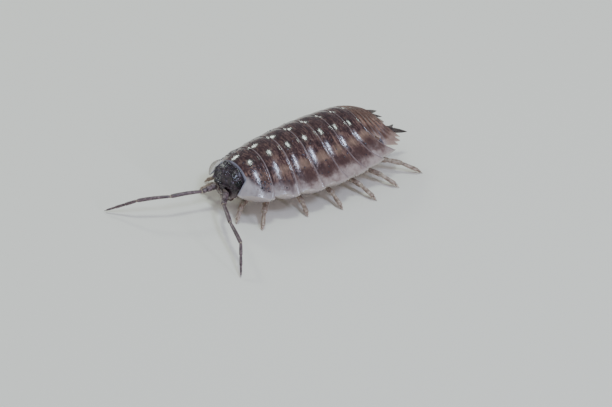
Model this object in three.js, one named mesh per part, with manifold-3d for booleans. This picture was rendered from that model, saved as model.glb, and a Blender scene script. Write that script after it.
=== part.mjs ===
// A common shiny woodlouse, life size, standing on fourteen legs with both antennae spread.
// Millimetres. The head points along -Y, the tail along +Y, +Z is up and the animal's left is +X.
// While it is built, y runs back from a point just ahead of the head and z is the height above the floor.
import * as THREE from "three";
import { mergeVertices } from "three/addons/utils/BufferGeometryUtils.js";
import Module from "manifold-3d";

const wasm = await Module();
wasm.setup();

// Driving dimensions of the shell, from the head back
const HEAD_FRONT = 0.46;
const HEAD_END = 1.78;
const HEAD_HALF_WIDTH = 1.3;
const PEREON_ENDS = [3.54, 5.3, 6.85, 8.35, 9.72, 11.0, 12.17];
const PEREON_HALF_WIDTHS = [3.15, 3.62, 3.92, 4.02, 3.95, 3.78, 3.45];
const PEREON_SWEEPS = [-0.45, -0.3, 0.2, 0.78, 1.17, 1.5, 1.6];
const PLEON_ENDS = [12.58, 12.98, 13.38, 13.78, 14.16];
const PLEON_HALF_WIDTHS = [2.3, 2.45, 2.95, 2.55, 2.1];
const PLEON_SWEEPS = [0.05, 0.15, 1.05, 1.15, 1.12];
const TELSON_TIP = 15.45;
const TELSON_HALF_WIDTH = 1.1;

// Heights: the line along the top of the back, the free side edge and the flat belly
const BACK_STATIONS = [0, 0.9, 1.9, 3.5, 5.3, 8.4, 11, 12.2, 13.2, 14.2, 15.5];
const BACK_HEIGHTS = [2.55, 3.24, 3.66, 4.07, 4.28, 4.39, 4.25, 4.08, 3.72, 3.2, 2.35];
const EDGE_STATIONS = [0.75, 1.15, 1.8, 3, 5, 7, 9.1, 10.9, 12.5, 13.8, 15.5];
const EDGE_HEIGHTS = [2.25, 1.94, 1.82, 1.78, 1.66, 1.6, 1.63, 1.73, 1.88, 1.98, 1.8];
const BELLY_HEIGHT = 1.5;
const PLEON_BELLY_HEIGHT = 2.15;
const DOME_CURVE = 2.09;
const DOME_FALL = 1.3;

// Corners of the first plate, which reach forward on both sides of the head
const P1_FRONT_CORNER = { x: 1.62, y: 0.82 };
const P1_SHOULDER = { x: 2.6, y: 1.75 };
const HEAD_ROOM = 0.06;

// How far the smooth oval that the side edges touch runs on behind the tail
const OUTLINE_END = { past: 0.4, halfWidth: 1.6 };

// Sizes shared by the plates
const GAP = 0.1;
const LIP = 0.12;
const TUCK = 0.24;
const TUCK_POWER = 4;
const SIDE_NOTCH = 0.3;
const SIDE_BULGE = 0.12;
const SWEEP_POWER = 3.8;
const PLATE_EDGE = 0.4;
const PLATE_DEPTH = 0.42;
const FLANK_START = 0.58;
const FLANK_END = 0.72;
const PLATE_STATIONS = 22;
const TOP_STEPS = [0, 0.22, 0.5, 0.8, 1];
const STEP_FALL = 1.6;
const RUN_IN = 0.03;
const LIP_SETBACK = 0.01;
const LEAST_TUCK = 0.02;
const FACE_DROP = 0.005;

// Limb articles: where the rings sit along one, and how far each swells
const ARTICLE_SHARES = [0, 0.16, 0.5, 0.84, 1];
const ARTICLE_SWELL = [0.86, 1, 1.06, 1, 0.9];
const MITRE_SHARE = 0.3;
const LIMB_SIDES = 8;

// Legs: the root article runs inward to the knee, and the stops are shares of the way from knee to foot
const HIP_SHARE = 0.5;
const HIP_RADIUS = 0.28;
const HIP_DEPTH = 0.16;
const THIGH_SHARE = 0.55;
const KNEE = { inward: 0.72, lean: 0.22, height: 0.74 };
const LEG_STOPS = [[0.3, 0.88], [0.48, 0.94], [0.68, 0.78], [0.93, 0.27]];
const ARTICLE_RADIUS = 0.25;
const ARTICLE_THINNING = 0.015;
const SWELL_SHARE = 0.7;
const KNUCKLE_RADIUS = 0.21;
const WRIST_RADIUS = 0.16;
const CLAW = { share: 0.35, height: 0.12, radius: 0.11 };
const FOOT_RADIUS = 0.08;

// Where each foot stands: x outward and y back, from the first pair to the seventh
const LEFT_FEET = [[2.0, 0.55], [3.71, 1.51], [4.25, 5.17], [5.0, 7.71], [5.5, 10.39], [5.15, 12.75], [4.69, 15.3]];
const RIGHT_FEET = [[2.75, 0.85], [3.5, 1.9], [4.5, 4.6], [5.05, 7.1], [5.35, 9.8], [5.1, 13.2], [4.45, 15.0]];

// The joints of each antenna, from the end of its three short root articles to the tip
const ANTENNA_ROOT = { x: 0.54, y: 0.7, z: 1.8, radius: 0.27 };
const ANTENNA_RADII = [0.27, 0.25, 0.22, 0.07];
const LEFT_ANTENNA = [[1.33, -0.1, 1.55], [3.42, -1.12, 1.6], [5.68, -1.95, 1.5], [7.36, -3.2, 0.12]];
const RIGHT_ANTENNA = [[-0.86, -0.3, 1.55], [-1.6, -2.5, 1.58], [-2.87, -4.46, 1.3], [-4.58, -6.05, 0.14]];
const ANTENNA_NAMES = ["base", "article_4", "article_5", "flagellum"];
const ANTENNULE = { root: [0.17, 0.95, 1.78], tip: [0.22, 0.52, 1.68], radii: [0.13, 0.08], sides: 6 };

// The head: its sides, its sloping face and the lobes of its front margin
const HEAD_CLOSING = 3.2;
const HEAD_STATIONS = 28;
const HEAD_REACH = 0.985;
const HEAD_TOP_SHARES = [0.12, 0.35, 0.65, 1];
const HEAD_SIDE = { top: 2.3, bottom: 2.05, margin: 2.24, hindRound: 0.12 };
const HEAD_FLOOR = 1.28;
const HEAD_BELOW_BACK = 0.05;
const MARGIN = { setback: 0.08, height: 2.42, curve: 0.58, step: 0.05, chin: 0.08 };
const MIDDLE_LOBE = { reach: 0.08, width: 0.16 };
const SIDE_LOBE = { reach: 0.2, at: 0.78, width: 0.15 };
const CHEEK = { setback: 0.24, from: 0.88 };
const FACE_FOOT = { y: 0.78, z: 1.3 };
const FACE_MIDDLE_HEIGHT = 1.75;
const FACE_NORMAL = new THREE.Vector3(0, -1, -0.36).normalize();

// Eyes, each an oval dome in a socket
const EYE_PLACE = { x: 1.14, y: 1.3, z: 2.68 };
const EYE_RADII = { x: 0.19, y: 0.28, z: 0.25 };
const EYE_TURN = 0.5;
const SOCKET_ROOM = 0.07;

// Mouthparts: an upper lip, and on each side a plate over the jaws and the jaw's root
const UPPER_LIP = { root: [0, 0.98], tip: [0, 0.9, 0.98], radii: [0.36, 0.2], flatness: 0.5 };
const JAW_PLATE = { root: [0.28, 1.34], tip: [0.24, 1.14, 0.8], radii: [0.36, 0.25], flatness: 0.8 };
const JAW_ROOT = { root: [0.58, 1.16], tip: [0.4, 1.0, 0.98], radii: [0.28, 0.17], flatness: 1 };

// Tail plate
const TELSON_STATIONS = 12;
const TELSON_STEPS = [0, 0.15, 0.4, 0.7, 1];
const TELSON_TIP_HALF_WIDTH = 0.1;
const TELSON_TAPER = 1.3;
const TELSON_SINK = 0.3;
const TELSON_CROWN = 0.3;
const TELSON_DEPTHS = [0.5, 0.22];
const TELSON_KEEL = 0.2;

// Forked tail legs: a root article, a long outer branch and a short inner one
const UROPOD_ROOT = { x: 1.28, behind: 0.16, station: 14.5, sink: 0.62 };
const UROPOD_FORK = { x: 1.36, y: 14.98, station: 15, sink: 0.5 };
const UROPOD_STEM = { radii: [0.34, 0.3], flatness: 0.72 };
const OUTER_BRANCH = { root: [1.42, 14.85, 0], tip: [1.72, 16.25, 1.66], radii: [0.29, 0.07], flatness: 0.75 };
const INNER_BRANCH = { root: [1.18, 14.9, -0.04], tip: [0.62, 15.85, 1.86], radii: [0.22, 0.06], flatness: 0.8 };

// Gill flaps under the tail, on a strip along the midline
const GILL_PAIRS = 5;
const GILL_STRIP = { from: [12.5, 0.22], to: [14.15, 0.2], radii: [0.6, 0.5], flatness: 0.34 };
const GILL_FLAP = { halfWidth: 0.92, narrowing: 0.07, halfLength: 0.52, halfDepth: 0.13 };
const GILL_TILT = { back: -0.28, side: 0.16 };
const GILL_PLACE = { x: 0.78, y: 12.62, pitch: 0.42, below: 0.34 };

// Colours of the finishes
const FINISHES = {
  shell: { color: 0x5b4b50, roughness: 0.32 },
  head_shell: { color: 0x2e2529, roughness: 0.38 },
  eye: { color: 0x0b0a0c, roughness: 0.15 },
  antenna: { color: 0x5a4f57, roughness: 0.45 },
  limb: { color: 0xb39a86, roughness: 0.4 },
  belly: { color: 0xc9bca9, roughness: 0.5 },
  tail: { color: 0x6a5450, roughness: 0.35 },
};

// Interpolation and small vector helpers

function mix(a, b, t) {
  return a + (b - a) * t;
}

function ease(low, high, value) {
  const t = Math.min(Math.max((value - low) / (high - low), 0), 1);
  return t * t * (3 - 2 * t);
}

function point(x, y, z) {
  return new THREE.Vector3(x, y, z);
}

function direction(from, to) {
  return to.clone().sub(from).normalize();
}

// Places crowded towards both ends of the span from -1 to 1
function crowdedShare(k, stations) {
  return Math.sin((Math.PI / 2) * (-1 + (2 * k) / stations));
}

// A smooth curve through the given heights, read at any station between them
function through(stations, values) {
  const last = stations.length - 1;
  const slopes = stations.map((station, i) => {
    const before = Math.max(i - 1, 0);
    const after = Math.min(i + 1, last);
    return (values[after] - values[before]) / (stations[after] - stations[before]);
  });
  return (where) => {
    const at = Math.min(Math.max(where, stations[0]), stations[last]);
    const i = Math.min(Math.max(stations.findIndex((station) => station >= at) - 1, 0), last - 1);
    const span = stations[i + 1] - stations[i];
    const t = (at - stations[i]) / span;
    const keepStart = (1 + 2 * t) * (1 - t) ** 2;
    const keepEnd = t * t * (3 - 2 * t);
    const bendStart = t * (1 - t) ** 2 * span;
    const bendEnd = t * t * (t - 1) * span;
    return keepStart * values[i] + keepEnd * values[i + 1] + bendStart * slopes[i] + bendEnd * slopes[i + 1];
  };
}

// Closed surfaces from rings, and joining and cutting

function signedVolume(positions, faces) {
  let total = 0;
  for (let i = 0; i < faces.length; i += 3) {
    const a = positions[faces[i]];
    const b = positions[faces[i + 1]];
    const c = positions[faces[i + 2]];
    total += a.dot(b.clone().cross(c)) / 6;
  }
  return total;
}

// Skins a row of rings with equal numbers of points, closes both ends and faces it outwards
function loft(rings) {
  const count = rings[0].length;
  const positions = rings.flat();
  const faces = [];
  for (let r = 0; r + 1 < rings.length; r += 1) {
    for (let k = 0; k < count; k += 1) {
      const a = r * count + k;
      const b = r * count + ((k + 1) % count);
      faces.push(a, b, a + count, b, b + count, a + count);
    }
  }
  const middle = (ring) => ring.reduce((sum, p) => sum.add(p), point(0, 0, 0)).divideScalar(count);
  const start = positions.push(middle(rings[0])) - 1;
  const end = positions.push(middle(rings[rings.length - 1])) - 1;
  const lastRing = (rings.length - 1) * count;
  for (let k = 0; k < count; k += 1) {
    const next = (k + 1) % count;
    faces.push(start, next, k, end, lastRing + k, lastRing + next);
  }
  if (signedVolume(positions, faces) < 0) {
    faces.reverse();
  }
  const geometry = new THREE.BufferGeometry().setFromPoints(positions);
  geometry.setIndex(faces);
  return geometry;
}

function toSolid(geometry) {
  const bare = geometry.clone();
  bare.deleteAttribute("normal");
  bare.deleteAttribute("uv");
  const merged = mergeVertices(bare, 1e-4);
  const vertProperties = Float32Array.from(merged.attributes.position.array);
  const triVerts = Uint32Array.from(merged.index.array);
  return new wasm.Manifold(new wasm.Mesh({ numProp: 3, vertProperties, triVerts }));
}

// Turns a solid back into a geometry, keeping only its largest closed surface
function toGeometry(solid) {
  const pieces = solid.decompose();
  const largest = pieces.reduce((best, piece) => (piece.volume() > best.volume() ? piece : best));
  const mesh = largest.getMesh();
  const geometry = new THREE.BufferGeometry();
  geometry.setAttribute("position", new THREE.BufferAttribute(mesh.vertProperties, 3));
  geometry.setIndex(new THREE.BufferAttribute(mesh.triVerts, 1));
  return geometry;
}

function joined(geometries) {
  const solids = geometries.map(toSolid);
  return toGeometry(solids.reduce((sum, solid) => sum.add(solid)));
}

function cutBy(geometry, cutters) {
  const solids = cutters.map(toSolid);
  return toGeometry(solids.reduce((rest, solid) => rest.subtract(solid), toSolid(geometry)));
}

// The level direction across a line, for rings that share one twist
function levelAcross(along) {
  const across = point(-along.y, along.x, 0);
  return across.length() > 0.05 * along.length() ? across.normalize() : point(1, 0, 0);
}

// A ring of points round a centre, in the plane that the normal stands on
function ringAt(centre, normal, hint, radiusAcross, radiusUp = radiusAcross, sides = LIMB_SIDES) {
  const axis = normal.clone().normalize();
  const across = hint.clone().addScaledVector(axis, -hint.dot(axis)).normalize();
  const up = axis.clone().cross(across).normalize();
  return Array.from({ length: sides }, (_, k) => {
    const angle = (2 * Math.PI * (k + 0.5)) / sides;
    const sideways = across.clone().multiplyScalar(radiusAcross * Math.cos(angle));
    const upwards = up.clone().multiplyScalar(radiusUp * Math.sin(angle));
    return centre.clone().add(sideways).add(upwards);
  });
}

// A tapered limb article with a slight waist at both ends
function article(from, to, startNormal, endNormal, [startRadius, endRadius], flatness = 1, sides = LIMB_SIDES) {
  const along = direction(from, to);
  const rings = ARTICLE_SHARES.map((t, i) => {
    const nearNormal = t < 0.5 ? startNormal : endNormal;
    const turned = nearNormal.clone().lerp(along, Math.min(Math.min(t, 1 - t) / MITRE_SHARE, 1));
    const radius = mix(startRadius, endRadius, t) * ARTICLE_SWELL[i];
    return ringAt(from.clone().lerp(to, t), turned, levelAcross(along), radius, radius * flatness, sides);
  });
  return loft(rings);
}

// The domed back

const backLine = through(BACK_STATIONS, BACK_HEIGHTS);
const edgeLine = through(EDGE_STATIONS, EDGE_HEIGHTS);

function cornerOf(plate) {
  return plate.end + plate.sweep;
}

const pereonPlates = PEREON_ENDS.map((end, i) => ({
  name: `pereonite_${i + 1}`,
  end,
  halfWidth: PEREON_HALF_WIDTHS[i],
  sweep: PEREON_SWEEPS[i],
  tuck: i < PEREON_ENDS.length - 1 ? TUCK : 0,
  belly: BELLY_HEIGHT,
}));

const pleonPlates = PLEON_ENDS.map((end, i) => ({
  name: `pleonite_${i + 1}`,
  end,
  halfWidth: PLEON_HALF_WIDTHS[i],
  sweep: PLEON_SWEEPS[i],
  tuck: 0,
  belly: PLEON_BELLY_HEIGHT,
}));

const lastPereon = pereonPlates[pereonPlates.length - 1];
const lastPleon = pleonPlates[pleonPlates.length - 1];

// The first two plates of the tail are narrow and tuck in between the sides of the last wide plate
const NARROW_PLEONITES = 2;
const sidePlates = pereonPlates.concat(pleonPlates.slice(NARROW_PLEONITES));
const outline = through(
  [P1_FRONT_CORNER.y, P1_SHOULDER.y, ...sidePlates.map(cornerOf), TELSON_TIP + OUTLINE_END.past],
  [P1_FRONT_CORNER.x, P1_SHOULDER.x, ...sidePlates.map((plate) => plate.halfWidth), OUTLINE_END.halfWidth],
);

function domeShare(share) {
  return (1 - Math.min(Math.abs(share), 1) ** DOME_CURVE) ** DOME_FALL;
}

function domeHeight(x, y) {
  return mix(edgeLine(y), backLine(y), domeShare(x / outline(y)));
}

function hindEdge(plate, x) {
  return plate.end + plate.sweep * Math.min(Math.abs(x) / plate.halfWidth, 1) ** SWEEP_POWER;
}

function tuckAt(plate, x) {
  return plate.tuck * (1 - Math.min(Math.abs(x) / plate.halfWidth, 1) ** TUCK_POWER);
}

// The flat belly in the middle, and the hollow underside of the thin plates outside it
function undersideHeight(x, y, belly) {
  const share = Math.abs(x) / outline(y);
  const thin = domeHeight(x, y) - LIP - GAP - mix(PLATE_DEPTH, PLATE_EDGE - LIP - GAP, share);
  return mix(belly, thin, ease(FLANK_START, FLANK_END, share));
}

// One ring of a plate at a share of its width: over the top, round the hind lip and back underneath
function plateRing(plate, front, share) {
  const frontX = share * front.halfWidth;
  const frontY = front.edgeY(frontX);
  const buriedY = frontY - front.tuckAt(frontX) + GAP;
  const hindX = share * plate.halfWidth;
  const hindY = hindEdge(plate, hindX);
  const innerY = hindY - Math.max(tuckAt(plate, hindX), LEAST_TUCK);
  const widthAt = (t) =>
    mix(front.halfWidth, plate.halfWidth, 1 - (1 - t) ** 2) + SIDE_BULGE * 4 * t * (1 - t);
  const top = TOP_STEPS.map((t) => {
    const x = share * widthAt(t);
    const y = mix(Math.max(frontY, buriedY + RUN_IN), hindY, t);
    return point(x, y, domeHeight(x, y) - front.drop * (1 - t) ** STEP_FALL);
  });
  return [
    point(frontX, buriedY, domeHeight(frontX, buriedY) - front.drop - FACE_DROP),
    ...top,
    point(hindX, hindY - LIP_SETBACK, domeHeight(hindX, hindY) - LIP),
    point(hindX, innerY, domeHeight(hindX, innerY) - LIP - FACE_DROP),
    point(hindX, innerY, undersideHeight(hindX, innerY, plate.belly)),
    point(frontX, buriedY, undersideHeight(frontX, buriedY, plate.belly)),
  ];
}

function shellPlate(plate, front) {
  const rings = [];
  for (let k = 0; k <= PLATE_STATIONS; k += 1) {
    rings.push(plateRing(plate, front, crowdedShare(k, PLATE_STATIONS)));
  }
  return loft(rings);
}

// The front of a plate follows the hind edge of the one before it, or of the last wide plate
function frontBehind(before, wide) {
  return {
    halfWidth: before.halfWidth - SIDE_NOTCH,
    drop: LIP + GAP,
    edgeY: (x) => Math.max(hindEdge(before, x), wide ? hindEdge(wide, x) : 0) + (before.tuck ? 0 : GAP / 2),
    tuckAt: (x) => tuckAt(before, x),
  };
}

// The first plate reaches forward on both sides of the head
const firstFront = {
  halfWidth: P1_FRONT_CORNER.x,
  drop: 0,
  edgeY: (x) => {
    const besideHead = ease(HEAD_HALF_WIDTH + HEAD_ROOM, P1_FRONT_CORNER.x, Math.abs(x));
    return mix(HEAD_END, P1_FRONT_CORNER.y, besideHead);
  },
  tuckAt: () => 0,
};

function pereonFront(i) {
  return i === 0 ? firstFront : frontBehind(pereonPlates[i - 1]);
}

function pleonFront(i) {
  const front = frontBehind(i === 0 ? lastPereon : pleonPlates[i - 1], lastPereon);
  front.halfWidth = Math.min(front.halfWidth, pleonPlates[i].halfWidth);
  if (i === NARROW_PLEONITES) {
    front.halfWidth = pleonPlates[i].halfWidth - SIDE_NOTCH;
  }
  return front;
}

// The tail plate and the forked tail legs

function telson() {
  const rings = [];
  for (let k = 0; k <= TELSON_STATIONS; k += 1) {
    const share = crowdedShare(k, TELSON_STATIONS);
    const arch = 1 - share ** 2;
    const spine = TELSON_STEPS.map((t) => {
      const x = share * mix(TELSON_TIP_HALF_WIDTH, TELSON_HALF_WIDTH, (1 - t) ** TELSON_TAPER);
      const y = mix(hindEdge(lastPleon, x) + GAP, TELSON_TIP, t);
      return point(x, y, backLine(y) - LIP - TELSON_SINK + TELSON_CROWN * arch * (1 - t));
    });
    const under = spine.map((p, i) => {
      const depth = mix(TELSON_DEPTHS[0], TELSON_DEPTHS[1], TELSON_STEPS[i]) + TELSON_KEEL * arch;
      return point(p.x, p.y, p.z - depth);
    });
    rings.push([...spine, ...under.reverse()]);
  }
  return loft(rings);
}

function uropod(side) {
  const back = point(0, 1, 0);
  const root = point(
    side * UROPOD_ROOT.x,
    hindEdge(lastPleon, UROPOD_ROOT.x) + UROPOD_ROOT.behind,
    backLine(UROPOD_ROOT.station) - UROPOD_ROOT.sink,
  );
  const fork = point(side * UROPOD_FORK.x, UROPOD_FORK.y, backLine(UROPOD_FORK.station) - UROPOD_FORK.sink);
  const stem = article(root, fork, back, direction(root, fork), UROPOD_STEM.radii, UROPOD_STEM.flatness);
  const branches = [OUTER_BRANCH, INNER_BRANCH].map((branch) => {
    const from = point(side * branch.root[0], branch.root[1], fork.z + branch.root[2]);
    const tip = point(side * branch.tip[0], branch.tip[1], branch.tip[2]);
    return article(from, tip, back, direction(fork, tip), branch.radii, branch.flatness);
  });
  return joined([stem, ...branches]);
}

// Pairs of thin gill flaps that overlap like tiles under the tail
function pleopods() {
  const top = PLEON_BELLY_HEIGHT - GAP;
  const back = point(0, 1, 0);
  const [from, to] = [GILL_STRIP.from, GILL_STRIP.to].map(([y, below]) => point(0, y, top - below));
  const pieces = [article(from, to, back, back, GILL_STRIP.radii, GILL_STRIP.flatness)];
  for (let pair = 0; pair < GILL_PAIRS; pair += 1) {
    for (const side of [-1, 1]) {
      const flap = new THREE.SphereGeometry(1, 12, 6);
      flap.scale(GILL_FLAP.halfWidth - GILL_FLAP.narrowing * pair, GILL_FLAP.halfLength, GILL_FLAP.halfDepth);
      flap.rotateX(GILL_TILT.back);
      flap.rotateY(side * GILL_TILT.side);
      flap.translate(side * GILL_PLACE.x, GILL_PLACE.y + GILL_PLACE.pitch * pair, top - GILL_PLACE.below);
      pieces.push(flap);
    }
  }
  return joined(pieces);
}

// The head: a broad dome with three lobes in front, a sloping face and a socket for each eye

// How far back the front margin lies at a share of the width
function frontMargin(share) {
  const fromSideLobe = (Math.abs(share) - SIDE_LOBE.at) / SIDE_LOBE.width;
  const middleLobe = MIDDLE_LOBE.reach * Math.exp(-((share / MIDDLE_LOBE.width) ** 2));
  const sideLobe = SIDE_LOBE.reach * Math.exp(-(fromSideLobe ** 2));
  const cheek = CHEEK.setback * ease(CHEEK.from, 1, Math.abs(share));
  return HEAD_FRONT + MARGIN.setback + MARGIN.curve * share ** 2 - middleLobe - sideLobe + cheek;
}

function headRing(share) {
  const closing = Math.sqrt(Math.max(1 - Math.abs(share) ** HEAD_CLOSING, 0));
  const x = share * HEAD_HALF_WIDTH;
  const marginY = frontMargin(share);
  const marginZ = mix(HEAD_SIDE.margin, MARGIN.height, closing);
  const bottomAt = (z) => mix(HEAD_SIDE.bottom, z, closing);
  const hindY = HEAD_END - HEAD_SIDE.hindRound * (1 - closing);
  const top = HEAD_TOP_SHARES.map((t) => {
    const y = mix(marginY, hindY, t);
    const z = mix(HEAD_SIDE.top, backLine(y) - HEAD_BELOW_BACK, closing);
    return point(x, y, Math.max(z, marginZ + MARGIN.step));
  });
  const faceY = Math.max(mix(marginY, FACE_FOOT.y, 0.5), marginY + MARGIN.step);
  return [
    point(x, marginY, marginZ),
    ...top,
    point(x, hindY, bottomAt(HEAD_FLOOR)),
    point(x, mix(FACE_FOOT.y, hindY, 0.5), bottomAt(HEAD_FLOOR)),
    point(x, Math.max(FACE_FOOT.y, marginY + MARGIN.chin), bottomAt(FACE_FOOT.z)),
    point(x, faceY, bottomAt(FACE_MIDDLE_HEIGHT)),
  ];
}

function eyeball(side, growth = 0) {
  const eye = new THREE.SphereGeometry(1, 14, 10);
  eye.scale(EYE_RADII.x + growth, EYE_RADII.y + growth, EYE_RADII.z + growth);
  eye.rotateY(-side * EYE_TURN);
  eye.translate(side * EYE_PLACE.x, EYE_PLACE.y, EYE_PLACE.z);
  return eye;
}

// The short inner feelers under the front margin
function antennule(side) {
  const [from, to] = [ANTENNULE.root, ANTENNULE.tip].map(([x, y, z]) => point(side * x, y, z));
  const ahead = point(0, -1, 0);
  return article(from, to, ahead, ahead, ANTENNULE.radii, 1, ANTENNULE.sides);
}

function head() {
  const rings = [];
  for (let k = 0; k <= HEAD_STATIONS; k += 1) {
    rings.push(headRing(HEAD_REACH * crowdedShare(k, HEAD_STATIONS)));
  }
  const skull = joined([loft(rings), antennule(-1), antennule(1)]);
  return cutBy(skull, [eyeball(-1, SOCKET_ROOM), eyeball(1, SOCKET_ROOM)]);
}

// A mouthpart hangs from the flat underside of the head
function mouthpart(shape, side) {
  const down = point(0, 0, -1);
  const root = point(side * shape.root[0], shape.root[1], HEAD_FLOOR - GAP);
  const tip = point(side * shape.tip[0], shape.tip[1], shape.tip[2]);
  return article(root, tip, down, down, shape.radii, shape.flatness);
}

function mouthparts() {
  const pieces = [mouthpart(UPPER_LIP, 1)];
  for (const side of [-1, 1]) {
    pieces.push(mouthpart(JAW_PLATE, side), mouthpart(JAW_ROOT, side));
  }
  return joined(pieces);
}

// Antennae: one article after another, with mitred faces that keep the gap between them

function antennaPieces(sideName, side, joints) {
  const root = point(side * ANTENNA_ROOT.x, ANTENNA_ROOT.y, ANTENNA_ROOT.z).addScaledVector(FACE_NORMAL, GAP);
  const path = [root, ...joints.map(([x, y, z]) => point(x, y, z))];
  const radii = [ANTENNA_ROOT.radius, ...ANTENNA_RADII];
  const directions = path.slice(1).map((p, i) => direction(path[i], p));
  const planes = path.map((_, i) => {
    const after = directions[Math.min(i, directions.length - 1)];
    return i === 0 ? FACE_NORMAL : directions[i - 1].clone().add(after).normalize();
  });
  return ANTENNA_NAMES.map((name, i) => {
    const startGap = i === 0 ? 0 : GAP / 2;
    const endGap = i === ANTENNA_NAMES.length - 1 ? 0 : GAP / 2;
    const from = path[i].clone().addScaledVector(directions[i], startGap);
    const to = path[i + 1].clone().addScaledVector(directions[i], -endGap);
    const geometry = article(from, to, planes[i], planes[i + 1], radii.slice(i, i + 2));
    return { name: `antenna_${sideName}_${name}`, geometry };
  });
}

// Legs: the root article runs inward and down from the hip, and the rest arches out to the floor

function hipOf(plateIndex, side) {
  const front = plateIndex === 0 ? HEAD_END + 2 * GAP : pereonPlates[plateIndex - 1].end;
  const y = (front + pereonPlates[plateIndex].end - TUCK) / 2;
  return point(side * HIP_SHARE * outline(y), y, BELLY_HEIGHT - GAP);
}

function leg(plateIndex, side, [footX, footY]) {
  const down = point(0, 0, -1);
  const hip = hipOf(plateIndex, side);
  const foot = point(side * footX, footY, 0);
  const knee = point(hip.x - side * KNEE.inward, hip.y + Math.sign(foot.y - hip.y) * KNEE.lean, KNEE.height);
  const inward = direction(hip, knee);
  const rootAcross = levelAcross(inward);
  const basis = loft([
    ringAt(hip, down, rootAcross, HIP_RADIUS),
    ringAt(hip.clone().addScaledVector(down, HIP_DEPTH), down, rootAcross, HIP_RADIUS),
    ringAt(hip.clone().lerp(knee, THIGH_SHARE), inward, rootAcross, ARTICLE_RADIUS),
    ringAt(knee, inward, rootAcross, ARTICLE_RADIUS),
  ]);
  const chain = [knee, ...LEG_STOPS.map(([share, z]) => knee.clone().lerp(foot, share).setZ(z))];
  const across = levelAcross(foot.clone().sub(knee));
  const rings = [];
  for (let i = 0; i + 1 < chain.length; i += 1) {
    const ahead = direction(chain[i], chain[i + 1]);
    const behind = i === 0 ? ahead : direction(chain[i - 1], chain[i]);
    const swollen = chain[i].clone().lerp(chain[i + 1], SWELL_SHARE);
    rings.push(ringAt(chain[i], ahead.clone().add(behind), across, i === 0 ? ARTICLE_RADIUS : KNUCKLE_RADIUS));
    rings.push(ringAt(swollen, ahead, across, ARTICLE_RADIUS - ARTICLE_THINNING * i));
  }
  const wrist = chain[chain.length - 1];
  const claw = foot.clone().lerp(wrist, CLAW.share).setZ(CLAW.height);
  rings.push(ringAt(wrist, direction(chain[chain.length - 2], foot), across, WRIST_RADIUS));
  rings.push(ringAt(claw, down, across, CLAW.radius));
  rings.push(ringAt(foot, down, across, FOOT_RADIUS));
  return joined([basis, loft(rings)]);
}

// Materials, and the animal put together

function finish(name) {
  return new THREE.MeshStandardMaterial({ ...FINISHES[name], metalness: 0 });
}

function named(name, geometry, finishName) {
  const mesh = new THREE.Mesh(geometry, finish(finishName));
  mesh.name = name;
  return mesh;
}

function headGroup() {
  const group = new THREE.Group();
  group.add(named("head", head(), "head_shell"));
  group.add(named("eye_left", eyeball(1), "eye"));
  group.add(named("eye_right", eyeball(-1), "eye"));
  group.add(named("mouthparts", mouthparts(), "belly"));
  const left = antennaPieces("left", 1, LEFT_ANTENNA);
  const right = antennaPieces("right", -1, RIGHT_ANTENNA);
  for (const { name, geometry } of [...left, ...right]) {
    group.add(named(name, geometry, "antenna"));
  }
  return group;
}

function pereonGroup() {
  const group = new THREE.Group();
  pereonPlates.forEach((plate, i) => {
    group.add(named(plate.name, shellPlate(plate, pereonFront(i)), "shell"));
    group.add(named(`leg_left_${i + 1}`, leg(i, 1, LEFT_FEET[i]), "limb"));
    group.add(named(`leg_right_${i + 1}`, leg(i, -1, RIGHT_FEET[i]), "limb"));
  });
  return group;
}

function pleonGroup() {
  const group = new THREE.Group();
  pleonPlates.forEach((plate, i) => {
    group.add(named(plate.name, shellPlate(plate, pleonFront(i)), "tail"));
  });
  group.add(named("telson", telson(), "tail"));
  group.add(named("uropod_left", uropod(1), "tail"));
  group.add(named("uropod_right", uropod(-1), "tail"));
  group.add(named("pleopods", pleopods(), "belly"));
  return group;
}

// The model stands on the floor at z = 0, with the middle of its reach over the origin
function centred(animal) {
  const reach = new THREE.Box3().setFromObject(animal);
  const middle = reach.getCenter(point(0, 0, 0));
  animal.position.set(-middle.x, -middle.y, -reach.min.z);
  return animal;
}

const woodlouse = new THREE.Group();
woodlouse.add(headGroup(), pereonGroup(), pleonGroup());

const group = new THREE.Group();
group.add(centred(woodlouse));
export default group;
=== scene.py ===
import math
import bpy
from mathutils import Matrix, Vector, noise


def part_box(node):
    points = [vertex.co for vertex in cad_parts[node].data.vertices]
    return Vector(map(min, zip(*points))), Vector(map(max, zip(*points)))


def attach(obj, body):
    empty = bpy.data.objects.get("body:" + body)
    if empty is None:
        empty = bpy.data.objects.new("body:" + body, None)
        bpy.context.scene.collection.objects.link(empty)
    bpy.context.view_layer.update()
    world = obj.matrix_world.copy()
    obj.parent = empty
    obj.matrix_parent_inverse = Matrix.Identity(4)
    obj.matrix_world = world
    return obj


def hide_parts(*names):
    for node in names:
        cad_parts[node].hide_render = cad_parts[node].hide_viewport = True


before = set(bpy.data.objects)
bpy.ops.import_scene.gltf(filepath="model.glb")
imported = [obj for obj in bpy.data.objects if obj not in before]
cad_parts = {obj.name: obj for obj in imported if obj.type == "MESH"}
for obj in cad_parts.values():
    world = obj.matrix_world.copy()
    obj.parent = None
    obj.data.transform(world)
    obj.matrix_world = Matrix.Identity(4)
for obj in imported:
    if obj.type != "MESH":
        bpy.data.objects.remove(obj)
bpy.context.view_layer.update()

# A common shiny woodlouse on a pale floor. Sizes are written in millimetres and turned to metres by mm.
# x is across, + to the animal's left; y runs back from just ahead of the head; z is up from the floor.
mm = 0.001

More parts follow.
